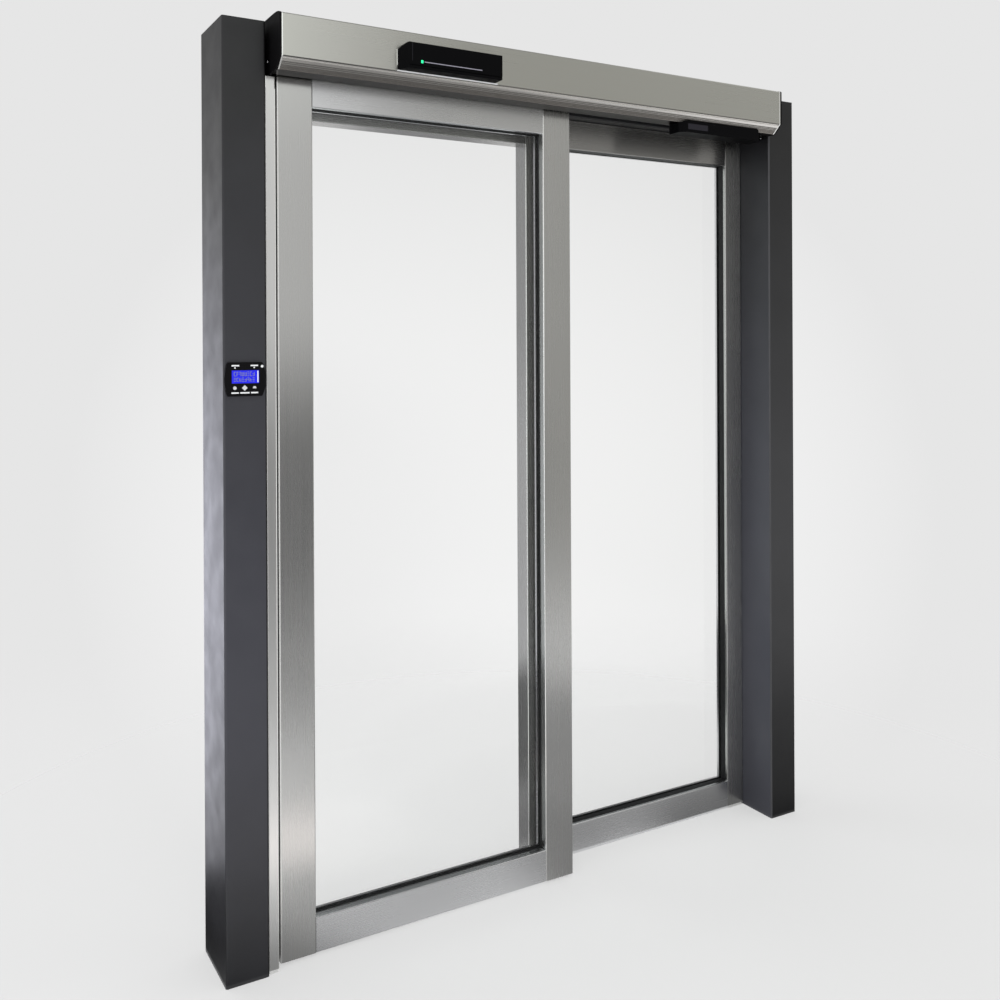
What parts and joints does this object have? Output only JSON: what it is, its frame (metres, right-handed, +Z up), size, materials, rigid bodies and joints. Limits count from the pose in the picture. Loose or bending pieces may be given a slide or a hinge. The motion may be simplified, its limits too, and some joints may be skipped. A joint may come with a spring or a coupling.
{
  "type": "automatic sliding fire door",
  "caption": "Automatic single-leaf sliding glazed fire door with a fixed side leaf, between two graphite steel posts, with a brushed aluminium operator across the top.",
  "frame": {"origin": "middle of the left post's foot, on the floor", "axes": "+X runs along the door from the left post to the right post, +Y from the front, where the operator is, to the back, +Z up"},
  "size_m": [1.936, 0.3145, 2.414],
  "materials": {
    "post_paint": "satin graphite powder coat with fine grain",
    "leaf_aluminium": "satin, brushed along its length",
    "cover_aluminium": "satin, brushed along its length",
    "mill_aluminium": "mill finish",
    "plate_steel": "zinc plated, dull",
    "fire_glass": "clear laminated fire glass, faintly green at its edge",
    "seal_rubber": "matt black",
    "belt_rubber": "matt black",
    "guide_plastic": "black, low friction",
    "cap_plastic": "black, fine texture",
    "sensor_plastic": "black, half gloss",
    "button_plastic": "dark grey",
    "display_glass": "blue backlit display",
    "motor_paint": "black, half matt",
    "gear_casting": "die-cast grey",
    "wheel_plastic": "off-white, low friction"
  },
  "bodies": {
    "frame": {"left_post": "post_paint", "right_post": "post_paint", "post_foot_plates": "plate_steel", "post_top_plates": "post_paint", "lintel_tube": "post_paint", "opening_head": "leaf_aluminium", "closing_jamb": "leaf_aluminium", "fixed_left_stile": "leaf_aluminium", "fixed_right_stile": "leaf_aluminium", "fixed_top_rail": "leaf_aluminium", "fixed_bottom_rail": "leaf_aluminium", "fixed_glass": "fire_glass", "fixed_beads": "leaf_aluminium", "fixed_gaskets": "seal_rubber", "overlap_seal": "seal_rubber", "floor_guide": "guide_plastic", "operator_profile": "mill_aluminium", "track_rail": "mill_aluminium", "operator_cover": "cover_aluminium", "left_end_cap": "cap_plastic", "right_end_cap": "cap_plastic", "drive_motor": "motor_paint", "drive_gearbox": "gear_casting", "drive_pulley": "mill_aluminium", "idler_pulley": "mill_aluminium", "idler_bracket": "plate_steel", "drive_belt": "belt_rubber", "control_unit": "motor_paint", "motion_sensor": "sensor_plastic", "presence_sensor": "sensor_plastic", "control_panel": "sensor_plastic", "panel_display": "display_glass", "panel_buttons": "button_plastic"},
    "sliding_leaf": {"sliding_left_stile": "leaf_aluminium", "sliding_right_stile": "leaf_aluminium", "sliding_top_rail": "leaf_aluminium", "sliding_bottom_rail": "leaf_aluminium", "sliding_glass": "fire_glass", "sliding_beads": "leaf_aluminium", "sliding_gaskets": "seal_rubber", "closing_nose": "seal_rubber", "carriage_plates": "plate_steel", "carriage_wheels": "wheel_plastic", "belt_clamp": "plate_steel"}
  },
  "joints": [
    {"name": "leaf_slide", "type": "slide", "parent": "frame", "child": "sliding_leaf", "axis": [1, 0, 0], "range_m": [0, 0.755]}
  ]
}
